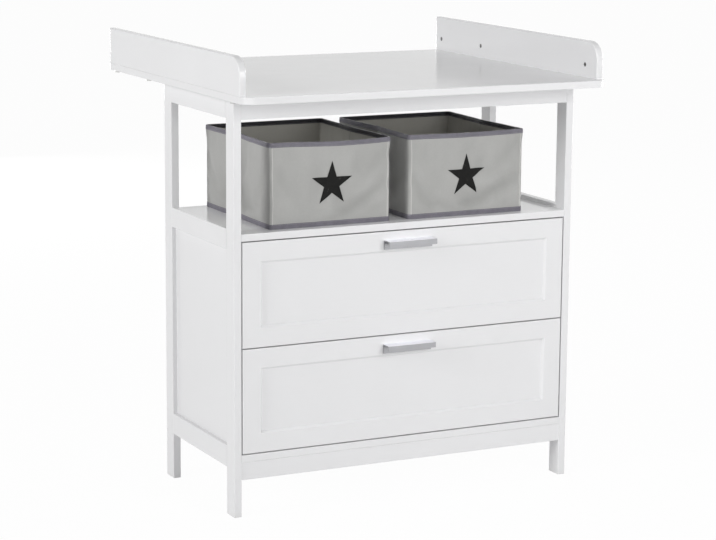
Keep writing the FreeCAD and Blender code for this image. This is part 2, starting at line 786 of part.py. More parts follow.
        channelLow = trackLevel - s.runnerSteel
        channel = newBody(f"{name}_runner_{side}", (wall, boxStart, channelLow), right)
        steel = s.runnerSteel
        webOuter = runnerSpace - steel
        reach = webOuter - s.runnerFlangeGap
        height = channelTop + steel - channelLow
        profile = sketchOutline(channel, "XZ_Plane", [
            (0, 0), (reach, 0), (reach, steel), (steel, steel), (steel, height - steel),
            (reach, height - steel), (reach, height), (0, height)])
        pad(channel, profile, boxDepth, backwards=not right)
        rollerPin(channel, (innerHalf - steel) * sign, inward[side], frontRollerPlace, frontAxle,
                  s.rollerWallGap - steel - s.rollerClearance)
        level = flangeLevel - s.runnerScrewDrop
        face = (innerHalf - steel) * sign
        for end, place in (("front", boxStart + s.runnerScrewInset),
                           ("rear", boxEnd - s.runnerScrewInset)):
            drill(channel, (face, place, level), outward[side], s.screwDiameter, steel)
            drill(frames[end, side], (wall, place, level), outward[side], s.screwDiameter,
                  s.screwLength - steel)
            woodScrews.append(headed(f"{name}_runner_screw_{len(woodScrews)}",
                                     (face, place, level), outward[side],
                                     screwHead, screwShank))

        slide = newBody(f"{name}_slide_{side}", (wall, boxStart, sideBottom - steel), right)
        rise = s.slideRise + steel
        profile = sketchOutline(slide, "XZ_Plane", [
            (webOuter, 0), (runnerSpace + s.slideLedge, 0),
            (runnerSpace + s.slideLedge, steel), (runnerSpace, steel),
            (runnerSpace, rise + steel), (s.slideFlangeGap, rise + steel),
            (s.slideFlangeGap, rise), (webOuter, rise)])
        pad(slide, profile, boxDepth, backwards=not right)
        rollerPin(slide, (innerHalf - webOuter) * sign, outward[side], rearRollerPlace, rearAxle,
                  webOuter - s.rollerWallGap - s.rollerWidth - s.rollerClearance)
        for place in (boxStart + s.slideScrewInset, boxEnd - s.slideScrewInset):
            level = sideBottom + s.slideScrewRise
            webFace = (innerHalf - webOuter) * sign
            drill(slide, (webFace, place, level), inward[side], s.screwDiameter, steel)
            drill(boxSides[side], (boxHalf * sign, place, level), inward[side],
                  s.screwDiameter, s.drawerSideThickness - steel)
            slideScrews.append(headed(f"{name}_slide_screw_{len(slideScrews) + 1}",
                                      (webFace, place, level), inward[side], screwHead,
                                      (s.screwDiameter, s.drawerSideThickness)))
    group(f"{name}_slide_screws", slideScrews)
    rollerPair(f"{name}_front_rollers", frontRollerPlace, frontAxle)
    rollerPair(f"{name}_rear_rollers", rearRollerPlace, rearAxle)


makeDrawer("lower_drawer", s.floorBoardHeight + s.drawerGap)
makeDrawer("upper_drawer", s.floorBoardHeight + s.drawerGap * 2 + drawerHeight)
group("wood_screws", woodScrews)


# ---- fabric boxes on the shelf, each with a loose stiff board on its floor ----

fabricWidth = (innerWidth - s.boxLeftGap - s.boxMiddleGap - s.boxRightGap) / 2
fabricDepth = s.carcassDepth - s.boxSetback - s.boxRearGap
fabricHeight = upperRailBottom - s.shelfHeight - s.boxHeadroom
fabricFront = front + s.boxSetback
fabricLow = s.shelfHeight + s.boxClearance
for side, low in (("left", s.boxLeftGap - innerHalf),
                  ("right", innerHalf - s.boxRightGap - fabricWidth)):
    box = board(f"fabric_box_{side}", (low, fabricFront, fabricLow),
                (fabricWidth, fabricDepth, fabricHeight))
    hollow = sketchOutline(box, "XY_Plane", rectangle(
        s.boxWall, s.boxWall, fabricWidth - s.boxWall * 2, fabricDepth - s.boxWall * 2))
    bind(hollow, "AttachmentOffset.Base.z", fabricHeight)
    pocket(box, hollow, fabricHeight - s.boxWall)
    inset = s.boxWall + s.insertClearance
    board(f"box_base_{side}", (low + inset, fabricFront + inset, fabricLow + s.boxWall),
          (fabricWidth - inset * 2, fabricDepth - inset * 2, s.insertThickness))


# ---- checks, then one STEP file for each piece ----

doc.recompute()
for thing in doc.Objects:
    if "Invalid" in thing.State or "Error" in thing.State:
        raise RuntimeError(f"{thing.Name} did not rebuild: {thing.State}")
for body in doc.findObjects("PartDesign::Body"):
    solids = [feature for feature in body.Group if feature.isDerivedFrom("PartDesign::Feature")]
    for before, after in zip(solids, solids[1:]):
        grows = after.TypeId == "PartDesign::AdditiveCylinder"
        change = after.Shape.Volume - before.Shape.Volume
        if (change if grows else -change) < 0.01:
            raise RuntimeError(f"{after.Name} changes nothing")
for part in parts:
    if part.Shape.isNull() or not part.Shape.isValid():
        raise RuntimeError(f"{part.Label} has no valid shape")

os.makedirs("parts", exist_ok=True)
for part in parts:
    part.Shape.exportStep(f"parts/{part.Label}.step")
print(len(parts), "pieces written")
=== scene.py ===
import json
import math

import bpy
from mathutils import Matrix, Vector


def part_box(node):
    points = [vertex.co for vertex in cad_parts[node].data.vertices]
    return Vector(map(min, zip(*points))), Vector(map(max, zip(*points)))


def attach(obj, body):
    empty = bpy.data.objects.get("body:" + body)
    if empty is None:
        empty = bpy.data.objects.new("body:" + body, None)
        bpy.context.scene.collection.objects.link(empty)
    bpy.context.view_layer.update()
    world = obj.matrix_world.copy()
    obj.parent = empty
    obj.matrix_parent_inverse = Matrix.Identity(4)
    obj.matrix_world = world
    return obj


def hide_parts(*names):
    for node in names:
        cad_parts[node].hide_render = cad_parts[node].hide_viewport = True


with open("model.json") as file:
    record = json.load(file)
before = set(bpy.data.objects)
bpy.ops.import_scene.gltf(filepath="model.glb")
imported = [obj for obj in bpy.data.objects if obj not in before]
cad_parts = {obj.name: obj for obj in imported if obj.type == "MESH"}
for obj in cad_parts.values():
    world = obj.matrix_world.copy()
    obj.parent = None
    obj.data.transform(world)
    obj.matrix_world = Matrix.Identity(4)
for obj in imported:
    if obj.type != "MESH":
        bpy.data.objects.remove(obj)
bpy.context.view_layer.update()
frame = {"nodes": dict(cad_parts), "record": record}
record = frame["record"]
nodes = frame["nodes"]
print("frame loaded:", len(nodes), "pieces")


# camera: where the photographer stood, in metres and degrees
cameraSet = {
    "place": (-2.3905, -4.8032, 1.4947),
    "yaw": 26.632,
    "pitchDown": 10.827,
    "roll": 0.437,
    "lens": 118.09,
    "sensor": 36,
    "farthest": 200,
}


def placeCamera(look):
    bpy.ops.object.camera_add()
    camera = bpy.context.object
    camera.name = "photoCamera"
    turn = (Matrix.Rotation(math.radians(-look["yaw"]), 4, "Z")
            @ Matrix.Rotation(math.radians(90 - look["pitchDown"]), 4, "X")
            @ Matrix.Rotation(math.radians(look["roll"]), 4, "Z"))
    camera.matrix_world = Matrix.Translation(look["place"]) @ turn
    camera.data.sensor_width = look["sensor"]
    camera.data.lens = look["lens"]
    camera.data.clip_end = look["farthest"]
    bpy.context.scene.camera = camera
    bpy.context.scene.view_settings.view_transform = "Standard"


placeCamera(cameraSet)
print("camera placed")


# shader sums: a wire wraps a socket, so that maths on it reads as maths

class Wire:
    def __init__(self, finish, socket):
        self.finish = finish
        self.socket = socket

    def sum(self, operation, first, second=None):
        values = {0: first} if second is None else {0: first, 1: second}
        return self.finish.add("Math", {"operation": operation}, values)

    def __add__(self, other):
        return self.sum("ADD", self, other)

    def __radd__(self, other):
        return self.sum("ADD", other, self)

    def __sub__(self, other):
        return self.sum("SUBTRACT", self, other)

    def __rsub__(self, other):
        return self.sum("SUBTRACT", other, self)

    def __mul__(self, other):
        return self.sum("MULTIPLY", self, other)

    def __rmul__(self, other):
        return self.sum("MULTIPLY", other, self)

    def __truediv__(self, other):
        return self.sum("DIVIDE", self, other)

    def __lt__(self, other):
        return self.sum("LESS_THAN", self, other)

    def __mod__(self, other):
        return self.sum("FLOORED_MODULO", self, other)

    def __or__(self, other):
        return self.sum("MAXIMUM", self, other)

    def __abs__(self):
        return self.sum("ABSOLUTE", self)


class Graph:
    # the nodes of a material or of the world
    def __init__(self, tree):
        self.tree = tree

    def add(self, kind, settings=None, inputs=None, out=0):
        node = self.tree.nodes.new("ShaderNode" + kind)
        for key, value in (settings or {}).items():
            setattr(node, key, value)
        for key, value in (inputs or {}).items():
            self.feed(node.inputs[key], value)
        return Wire(self, node.outputs[out])

    def feed(self, socket, value):
        if isinstance(value, Wire):
            self.tree.links.new(value.socket, socket)
        else:
            socket.default_value = value


class Finish(Graph):
    def __init__(self, name):
        self.material = bpy.data.materials.new(name)
        self.material.use_nodes = True
        super().__init__(self.material.node_tree)
        self.surface = self.tree.nodes["Principled BSDF"]
        self.place = self.add("TexCoord", out="Object")

    def set(self, **values):
        names = {"colour": "Base Color", "rough": "Roughness", "metal": "Metallic",
                 "coat": "Coat Weight", "coatRough": "Coat Roughness", "ior": "IOR",
                 "sheen": "Sheen Weight", "sheenRough": "Sheen Roughness",
                 "specular": "Specular IOR Level", "anisotropic": "Anisotropic"}
        for key, value in values.items():
            self.feed(self.surface.inputs[names[key]], value)
        return self

    def noise(self, scale, detail=2, rough=0.5, stretch=(1, 1, 1)):
        spot = self.add("Mapping", {}, {"Vector": self.place, "Scale": stretch})
        return self.add("TexNoise", {}, {"Vector": spot, "Scale": scale, "Detail": detail,
                                         "Roughness": rough})

    def spread(self, value, low, high):
        # a noise value between the middle tones, stretched to run from low to high
        return self.add("MapRange", {}, {"Value": value, "From Min": 0.3, "From Max": 0.7,
                                         "To Min": low, "To Max": high})

    def blend(self, factor, first, second):
        return self.add("Mix", {"data_type": "RGBA"},
                        {"Factor": factor, 6: (*first, 1) if isinstance(first, tuple) else first,
                         7: (*second, 1) if isinstance(second, tuple) else second}, out=2)

    def axis(self, name):
        return self.add("SeparateXYZ", {}, {"Vector": self.place}, out=name)

    def bump(self, height, distance, below=None):
        inputs = {"Height": height, "Distance": distance, "Strength": 1.0}
        if below is not None:
            inputs["Normal"] = below
        return self.add("Bump", {}, inputs)

    def relief(self, *layers):
        # each layer is a height and how far it stands out, in metres
        normal = None
        for height, distance in layers:
            normal = self.bump(height, distance, normal)
        self.feed(self.surface.inputs["Normal"], normal)
        return self


# finishes of the dresser

lacquer = {
    "white": (0.862, 0.862, 0.872),
    "shade": (0.842, 0.842, 0.850),
    "scuff": (0.70, 0.69, 0.67),
    "roughLow": 0.11,
    "roughHigh": 0.15,
    "orangePeel": 0.000012,
    "grain": 0.00001,
}


def makeLacquer(name, along, look=lacquer):
    # sprayed white lacquer; along is the axis of the faint grain that shows through
    finish = Finish(name)
    run = {"x": (0.04, 1, 1), "y": (1, 0.04, 1), "z": (1, 1, 0.04)}[along]
    cloud = finish.noise(5, 3)
    patches = finish.noise(38, 4, 0.6)
    grain = finish.noise(420, 5, 0.65, run)
    peel = finish.noise(900, 2, 0.4)
    tone = finish.spread(cloud * 0.6 + grain * 0.4, 0.0, 1.0)
    base = finish.blend(tone, look["shade"], look["white"])
    # the lowest centimetre is rubbed a little by the floor
    height = finish.axis("Z")
    low = finish.add("MapRange", {}, {"Value": height, "From Min": 0.012, "From Max": 0.0,
                                      "To Min": 0.0, "To Max": 0.5})
    rubbed = low * finish.spread(patches, 0.0, 1.0)
    finish.set(colour=finish.blend(rubbed, base, look["scuff"]),
               rough=finish.spread(cloud, look["roughLow"], look["roughHigh"]) + rubbed * 0.2,
               specular=0.35)
    return finish.relief((peel, look["orangePeel"]), (grain, look["grain"])).material


drawerFoil = {"white": (0.80, 0.795, 0.78), "shade": (0.75, 0.745, 0.725), "emboss": 0.00008}


def makeFoil(name, look=drawerFoil):
    # matte printed foil on board, with a fine embossed pore
    finish = Finish(name)
    pores = finish.noise(700, 4, 0.7, (1, 0.08, 1))
    cloud = finish.noise(9, 3)
    finish.set(colour=finish.blend(finish.spread(pores * 0.5 + cloud * 0.5, 0, 1),
                                   look["shade"], look["white"]),
               rough=finish.spread(cloud, 0.5, 0.66))
    return finish.relief((pores, look["emboss"])).material


anodised = {"bright": (0.47, 0.47, 0.49), "dull": (0.38, 0.38, 0.395),
            "topHighlight": (0.84, 0.84, 0.88), "brush": 0.00002}


def makeAluminium(name, look=anodised):
    # extruded bar, brushed along its length and satin anodised; its upward faces are painted
    # paler as a painted highlight
    finish = Finish(name)
    lines = finish.noise(1500, 4, 0.7, (0.01, 1, 1))
    cloud = finish.noise(30, 2)
    facing = finish.add("NewGeometry", out="Normal")
    upwards = finish.add("SeparateXYZ", {}, {"Vector": facing}, out="Z")
    # painted highlight: the more a face looks upwards, the more its colour is blended towards a
    # pale tone
    paintedTopHighlight = finish.add("MapRange", {}, {"Value": upwards, "From Min": 0.2, "From Max": 0.7})
    brushed = finish.blend(finish.spread(lines * 0.7 + cloud * 0.3, 0, 1), look["dull"],
                           look["bright"])
    finish.set(colour=finish.blend(paintedTopHighlight, brushed, look["topHighlight"]), metal=1.0,
               rough=finish.spread(lines * 0.6 + cloud * 0.4, 0.26, 0.36), anisotropic=0.4)
    return finish.relief((lines, look["brush"])).material


def makeSteel(name, bright, dull, roughLow, roughHigh):
    finish = Finish(name)
    spangle = finish.add("TexVoronoi", {}, {"Vector": finish.place, "Scale": 900})
    cloud = finish.noise(160, 4, 0.6)
    finish.set(colour=finish.blend(finish.spread(cloud, 0, 1), dull, bright), metal=1.0,
               rough=finish.spread(cloud * 0.7 + spangle * 0.3, roughLow, roughHigh))
    return finish.relief((cloud, 0.00004)).material


def makePowderCoat(name):
    finish = Finish(name)
    grit = finish.noise(1600, 3, 0.6)
    cloud = finish.noise(20, 2)
    finish.set(colour=finish.blend(finish.spread(cloud, 0, 1), (0.80, 0.80, 0.78),
                                   (0.85, 0.85, 0.83)),
               rough=finish.spread(grit, 0.42, 0.6))
    return finish.relief((grit, 0.00006)).material


def makeNylon(name):
    finish = Finish(name)
    rings = finish.noise(2200, 2, 0.5)
    finish.set(colour=finish.blend(finish.spread(rings, 0, 1), (0.74, 0.74, 0.71),
                                   (0.80, 0.80, 0.77)),
               rough=finish.spread(rings, 0.38, 0.52))
    return finish.relief((rings, 0.00004)).material


def makeBeech(name):
    finish = Finish(name)
    grain = finish.noise(500, 5, 0.7, (1, 1, 0.1))
    finish.set(colour=finish.blend(finish.spread(grain, 0, 1), (0.55, 0.36, 0.20),
                                   (0.72, 0.52, 0.33)),
               rough=finish.spread(grain, 0.55, 0.75))
    return finish.relief((grain, 0.0001)).material


finishes = {
    "white_lacquer": {axis: makeLacquer(f"whiteLacquer_{axis}", axis) for axis in "xyz"},
    "drawer_board": makeFoil("drawerFoil"),
    "back_board": makeLacquer("backBoard", "x"),
    "dowel_wood": makeBeech("beech"),
    "satin_aluminium": makeAluminium("satinAluminium"),
    "zinc_steel": makeSteel("zincSteel", (0.66, 0.66, 0.64), (0.50, 0.50, 0.50), 0.28, 0.42),
    "runner_steel": makePowderCoat("runnerPaint"),
    "roller_plastic": makeNylon("nylon"),
}


def grainOf(node):
    low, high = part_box(node)
    lengths = high - low
    return "xyz"[max(range(3), key=lambda index: lengths[index])]


slotOf = {part["node"]: part["material_slot"] for part in record["subparts"]}
for name, piece in nodes.items():
    finish = finishes.get(slotOf[name])
    if isinstance(finish, dict):
        finish = finish[grainOf(name)]
    if finish is not None:
        for slot in piece.material_slots:
            slot.material = finish
print("finishes on the rigid pieces")


# helpers for modelling as by hand

def only(piece):
    if bpy.context.object and bpy.context.object.mode != "OBJECT":
        bpy.ops.object.mode_set(mode="OBJECT")
    bpy.ops.object.select_all(action="DESELECT")
    piece.select_set(True)
    bpy.context.view_layer.objects.active = piece


def pick(piece, wanted, kind="FACE"):
    # edit mode, with just the wanted faces or vertices selected
    only(piece)
    bpy.ops.object.mode_set(mode="EDIT")
    bpy.ops.mesh.select_mode(type=kind)
    bpy.ops.mesh.select_all(action="DESELECT")
    bpy.ops.object.mode_set(mode="OBJECT")
    if kind == "FACE":
        for face in piece.data.polygons:
            face.select = wanted(face.center, face.normal)
    else:
        for vertex in piece.data.vertices:
            vertex.select = wanted(vertex.co)
    bpy.ops.object.mode_set(mode="EDIT")


def finishEdit():
    bpy.ops.object.mode_set(mode="OBJECT")


def pickMarked(piece, attribute, lowest, highest, kind="FACE"):
    # edit mode, with what lies between two values of an attribute selected
    marks = [mark.value for mark in piece.data.attributes[attribute].data]
    pick(piece, lambda spot: False, "VERT")
    finishEdit()
    for vertex, mark in zip(piece.data.vertices, marks):
        vertex.select = lowest < mark < highest
    bpy.ops.object.mode_set(mode="EDIT")
    bpy.ops.mesh.select_mode(type=kind)


def addModifier(piece, kind, **settings):
    only(piece)
    modifier = piece.modifiers.new(kind.title(), kind)
    for key, value in settings.items():
        setattr(modifier, key, value)
    bpy.ops.object.modifier_apply(modifier=modifier.name)


def settle(piece, angle=35):
    # its place goes into its mesh, and its shading is smooth but for sharp edges
    only(piece)
    bpy.ops.object.transform_apply(location=True, rotation=True, scale=True)
    bpy.ops.object.shade_smooth_by_angle(angle=math.radians(angle))


def dress(piece, body, slot, *materials):
    piece.data.materials.clear()
    for material in materials:
        piece.data.materials.append(material)
    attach(piece, body)


def takeCopy(piece, name):
    # what is selected in edit mode becomes a new object
    bpy.ops.mesh.duplicate()
    bpy.ops.mesh.separate(type="SELECTED")
    finishEdit()
    copy = [each for each in bpy.context.selected_objects if each != piece][0]
    copy.name = name
    only(copy)
    return copy


# cloth of the boxes
felt = {
    "light": (0.47, 0.47, 0.458),
    "dark": (0.395, 0.395, 0.383),
    # insideLight and insideDark: a warmer lining, lighter than the outer felt as painted light
    "insideLight": (0.52, 0.51, 0.47),
    "insideDark": (0.44, 0.43, 0.395),
    # the cord colours are a paler felt, a painted highlight for the light a corner edge catches
    "cordHighlightLight": (0.66, 0.66, 0.64),
    "cordHighlightDark": (0.56, 0.56, 0.54),
    "creaseWidth": 0.0012,
    "fibre": 0.00012,
    "dent": 0.0006,
    "creaseShade": 0.45,
}


def makeFelt(name, light, dark, creaseAt, look=felt):
    # pressed non-woven cloth: short fibres, tiny press dots and soft dents
    finish = Finish(name)
    fibres = finish.noise(1400, 6, 0.75)
    flecks = finish.noise(260, 5, 0.7)
    cloud = finish.noise(14, 3)
    pulls = finish.noise(22, 3, 0.5, (0.35, 0.35, 1))
    dots = finish.add("TexVoronoi", {"feature": "SMOOTH_F1"},
                      {"Vector": finish.place, "Scale": 700})
    tone = finish.spread(fibres * 0.25 + flecks * 0.35 + cloud * 0.4, 0, 1)
    # painted shade: the felt is darker where a fold lies behind its wall's plane, and along the
    # crease at half the depth
    inkMottleAndFoldShade = finish.add("Attribute", {"attribute_name": "fold"}, out="Fac")
    crease = abs(finish.axis("Y") - creaseAt) < look["creaseWidth"]
    base = finish.blend(inkMottleAndFoldShade * 0.4 | crease * 0.6, finish.blend(tone, dark, light),
                        tuple(value * look["creaseShade"] for value in dark))
    finish.set(colour=base, rough=finish.spread(flecks, 0.8, 0.95), sheen=0.15,
               sheenRough=0.5, specular=0.25)
    return finish.relief((pulls, look["dent"]), (dots, 0.00006),
                         (fibres, look["fibre"])).material


# insideLight and insideDark of the tape are painted shade for the rim's inner side
tape = {"light": (0.235, 0.225, 0.26), "dark": (0.165, 0.158, 0.185),
        "stitch": (0.36, 0.35, 0.39), "insideLight": (0.060, 0.058, 0.064),
        "insideDark": (0.034, 0.033, 0.037), "stitchLength": 0.0032, "rib": 0.00025}


def makeTape(name, light, dark, stitchLevel, look=tape):
    # woven binding tape with a row of stitches; x + y runs along any straight side of a box
    finish = Finish(name)
    along = finish.axis("X") + finish.axis("Y")
    height = finish.add("Attribute", {"attribute_name": "sewnHeight"}, out="Fac")
    ribs = abs((along / 0.0011) % 1 - 0.5)
    cloud = finish.noise(60, 4, 0.6)
    dash = (along / look["stitchLength"]) % 1 < 0.68
    stitch = dash * (abs(height - stitchLevel) < 0.0004)
    base = finish.blend(finish.spread(cloud * 0.7 + ribs * 0.3, 0, 1), dark, light)
    finish.set(colour=finish.blend(stitch, base, look["stitch"]),
               rough=finish.spread(cloud, 0.62, 0.8), specular=0.25)
    return finish.relief((ribs, look["rib"]), (stitch, 0.0004)).material


starInk = {"light": (0.022, 0.022, 0.021), "dark": (0.006, 0.006, 0.006),
           "paleSpot": (0.16, 0.16, 0.155)}


def makeInk(name, look=starInk):
    # printed ink, paler in scattered spots
    finish = Finish(name)
    fibres = finish.noise(1400, 6, 0.75)
    inkMottleAndFoldShade = finish.noise(90, 6, 0.75)
    base = finish.blend(finish.spread(inkMottleAndFoldShade * 0.6 + fibres * 0.4, 0, 1), look["dark"],
                        look["light"])
    paleSpotMask = finish.add("MapRange", {}, {"Value": inkMottleAndFoldShade, "From Min": 0.63, "From Max": 0.72,
                                       "To Min": 0.0, "To Max": 0.6})
    finish.set(colour=finish.blend(paleSpotMask, base, look["paleSpot"]),
               rough=finish.spread(inkMottleAndFoldShade, 0.5, 0.75), specular=0.08)
    return finish.relief((fibres, 0.00012)).material


# fabric boxes
boxShape = {
    "cuts": 5,
    "wall": 0.0034,
    "cornerRound": 0.006,
    "onEdge": 0.0004,
    "tapeRows": 2,
    "tapeProud": 0.0007,
    "tapeRound": 0.0009,
    "tapeUnder": 0.0004,
    "stitchIn": 0.0018,
    "wave": 0.0009,
    "waveSize": 0.07,
    "cornerCord": 0.0011,
    "inwardMost": 0.012,
    "outwardMost": 0.0018,
}
sideFold = {"inwards": 0.008, "reach": 0.12, "aboveHem": 0.05, "belowRim": 0.02, "near": 0.0005}
sidePleat = {"outwards": 0.0032, "reach": 0.034, "fromCorner": 0.012, "endsAt": 0.07,
             "width": 0.006, "near": 0.010}
# folds in each front wall: both ends as shares of its width and height, depth and reach
frontFolds = {
    "left": [((0.08, 0.62), (0.40, 0.50), -0.0040, 0.026),
             ((0.72, 0.70), (0.96, 0.82), -0.0042, 0.024),
             ((0.64, 0.16), (0.94, 0.46), -0.0044, 0.022),
             ((0.36, 0.10), (0.50, 0.26), 0.0026, 0.018),
             ((0.06, 0.30), (0.28, 0.15), 0.0024, 0.022)],
    "right": [((0.14, 0.78), (0.56, 0.87), -0.0036, 0.022),
              ((0.60, 0.60), (0.95, 0.84), -0.0050, 0.024),
              ((0.52, 0.14), (0.94, 0.40), -0.0048, 0.022),
              ((0.05, 0.48), (0.22, 0.14), -0.0038, 0.022),
              ((0.62, 0.38), (0.92, 0.58), 0.0028, 0.018)],
}
frontWidth = {"width": 0.005, "near": 0.006}
rimSag = {"left": (0.62, 0.0038), "right": (0.50, 0.0018)}  # share of the width, and depth
sagWidth = {"width": 0.012, "near": 0.002, "reach": 0.15}
clothPull = {"frames": 16, "slack": -0.006, "bending": 6, "tension": 30, "gravity": 0.5,
             "quality": 6, "mass": 0.2, "cornerHeld": 0.011, "tapeHeld": 0.001, "most": 0.006}
starShape = {
    "left": {"across": 0.1490, "up": 0.0907, "radius": 0.0510},
    "right": {"across": 0.1448, "up": 0.0892, "radius": 0.0500},
}
starWaist = 0.382  # inner corners of a regular five-pointed star
starInFront, starProud, starThick = 0.03, 0.0004, 0.0003
boxMiddle = sum(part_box("fabric_box_left"), Vector()) / 2
outsideFelt = makeFelt("greyFelt", felt["light"], felt["dark"], boxMiddle.y)
# painted light: the inside felt is a warmer lining, made lighter than the outer felt to stand in
# for light the dim inside lacks
insideFeltPaintedLight = makeFelt("insideFeltPaintedLight", felt["insideLight"], felt["insideDark"], boxMiddle.y)
cordFeltPaintedHighlight = makeFelt("cordFeltPaintedHighlight", felt["cordHighlightLight"], felt["cordHighlightDark"], boxMiddle.y)
starFinish = makeInk("starInk")


def nearLine(start, end, reach):
    # true for points within reach of the line between two points
    run = end - start

    def near(spot):
        share = max(0, min(1, (spot - start).dot(run) / run.length_squared))
        return (spot - start - run * share).length < reach
    return near


def push(piece, wanted, move, reach, falloff="SMOOTH"):
    pick(piece, wanted, "VERT")
    bpy.ops.transform.translate(value=move, use_proportional_edit=True,
                                proportional_edit_falloff=falloff, proportional_size=reach,
                                use_proportional_connected=True)
    finishEdit()


def foldSides(shell, low, high, cuts, fold=sideFold, pleat=sidePleat):
    # a side wall folds inwards at half its depth, and pleats run there from its top corners
    middle = (low + high) / 2
    step = (high.y - low.y) / (cuts + 1) ** 2
    corner = pleat["fromCorner"]
    for edge, inwards in ((low.x, 1), (high.x, -1)):
        push(shell, lambda spot: abs(spot.x - edge) < fold["near"]
             and abs(spot.y - middle.y) < step * 0.6
             and low.z + fold["aboveHem"] < spot.z < high.z - fold["belowRim"],
             (fold["inwards"] * inwards, 0, 0), fold["reach"], "SHARP")
        for end in (low.y + corner, high.y - corner):
            line = nearLine(Vector((edge, end, high.z - corner)),
                            Vector((edge, middle.y, low.z + pleat["endsAt"])), pleat["width"])
            push(shell, lambda spot: abs(spot.x - edge) < pleat["near"] and line(spot),
                 (-pleat["outwards"] * inwards, 0, 0), pleat["reach"], "SHARP")


def foldFront(shell, low, high, folds, across=frontWidth):
    size = high - low
    for start, end, depth, reach in folds:
        ends = [Vector((low.x + right * size.x, low.y, low.z + up * size.z))
                for right, up in (start, end)]
        line = nearLine(ends[0], ends[1], across["width"])
        push(shell, lambda spot: abs(spot.y - low.y) < across["near"] and line(spot),
             (0, -depth, 0), reach)


def sagRim(shell, low, high, side, onEdge, width=sagWidth):
    share, sag = rimSag[side]
    lowest = low.x + share * (high.x - low.x)
    push(shell, lambda spot: spot.z > high.z - onEdge and abs(spot.y - low.y) < width["near"]
         and abs(spot.x - lowest) < width["width"], (0, 0, -sag), width["reach"])


def pullCloth(shell, low, high, tapeHeight, pull=clothPull):
    # the sewn edges hold still while the walls between them settle
    before = [vertex.co.copy() for vertex in shell.data.vertices]
    held = shell.vertex_groups.new(name="held")
    for vertex in shell.data.vertices:
        spot = vertex.co
        sideways = min(spot.x - low.x, high.x - spot.x)
        endways = min(spot.y - low.y, high.y - spot.y)
        fromCorner = max(sideways, endways)
        fromTape = min(spot.z - low.z, high.z - spot.z) - tapeHeight
        if fromCorner < pull["cornerHeld"] or fromTape < pull["tapeHeld"]:
            held.add([vertex.index], 1, "REPLACE")
    only(shell)
    cloth = shell.modifiers.new("Cloth", "CLOTH")
    cloth.settings.quality = pull["quality"]
    cloth.settings.mass = pull["mass"]
    cloth.settings.tension_stiffness = pull["tension"]
    cloth.settings.compression_stiffness = pull["tension"]
    cloth.settings.bending_stiffness = pull["bending"]
    cloth.settings.shrink_min = pull["slack"]
    cloth.settings.vertex_group_mass = "held"
    cloth.settings.effector_weights.gravity = pull["gravity"]
    cloth.point_cache.frame_end = pull["frames"]
    scene = bpy.context.scene
    for number in range(1, pull["frames"] + 1):
        scene.frame_set(number)
    bpy.ops.object.modifier_apply(modifier=cloth.name)
    scene.frame_set(1)
    for vertex, start in zip(shell.data.vertices, before):
        move = vertex.co - start
        vertex.co = start + move * min(1, pull["most"] / max(move.length, 1e-6))


def keepInside(shell, low, high, out):
    # no wall bulges past the space of the solid by more than its cloth's thickness
    for vertex in shell.data.vertices:
        spot = vertex.co
        spot.x = max(low.x - out, min(high.x + out, spot.x))
        spot.y = max(low.y - out, min(high.y + out, spot.y))
        spot.z = max(low.z, spot.z)


def markFolds(shell, low, high, deepest):
    # how far a point lies behind its wall's plane, for the painted shade in the folds
    fold = shell.data.attributes.new("fold", "FLOAT", "POINT")
    for vertex in shell.data.vertices:
        spot = vertex.co
        sideways = min(spot.x - low.x, high.x - spot.x)
        endways = min(spot.y - low.y, high.y - spot.y)
        behind = max(0, min(sideways, endways)) if spot.z > low.z + 0.004 else 0
        fold.data[vertex.index].value = min(1, behind / deepest) ** 1.5


def makeShell(side, low, high, shape):
    # four walls and a floor, finely divided, with rounded upright corners
    bpy.ops.object.select_all(action="DESELECT")
    bpy.ops.mesh.primitive_cube_add(size=1, location=(low + high) / 2, scale=high - low)
    shell = bpy.context.object
    shell.name = f"fabricBox_{side}"
    bpy.ops.object.transform_apply(location=True, rotation=True, scale=True)
    pick(shell, lambda spot, normal: normal.z > 0.9)
    bpy.ops.mesh.delete(type="FACE")
    bpy.ops.mesh.select_all(action="SELECT")
    for _ in range(2):
        bpy.ops.mesh.subdivide(number_cuts=shape["cuts"])
    finishEdit()

    def atCorner(spot):
        return (min(abs(spot.x - low.x), abs(spot.x - high.x)) < shape["onEdge"]
                and min(abs(spot.y - low.y), abs(spot.y - high.y)) < shape["onEdge"])
    pick(shell, atCorner, "VERT")
    bpy.ops.mesh.select_mode(type="EDGE")
    bpy.ops.mesh.bevel(offset=shape["cornerRound"], segments=3)
    finishEdit()

    # heights as sewn, of every point and of those up the edges of the front and back
    sewn = shell.data.attributes.new("sewnHeight", "FLOAT", "POINT")
    edge = shell.data.attributes.new("panelEdge", "FLOAT", "POINT")
    for vertex in shell.data.vertices:
        spot = vertex.co
        sewn.data[vertex.index].value = spot.z
        fromSide = min(spot.x - low.x, high.x - spot.x)
        fromEnd = min(spot.y - low.y, high.y - spot.y)
        atEdge = (abs(fromSide - shape["cornerRound"]) < shape["onEdge"]
                  and fromEnd < shape["onEdge"])
        edge.data[vertex.index].value = spot.z if atEdge else 0
    return shell


def standProud(band, proud):
    pick(band, lambda spot, normal: True)
    bpy.ops.transform.shrink_fatten(value=proud)
    finishEdit()


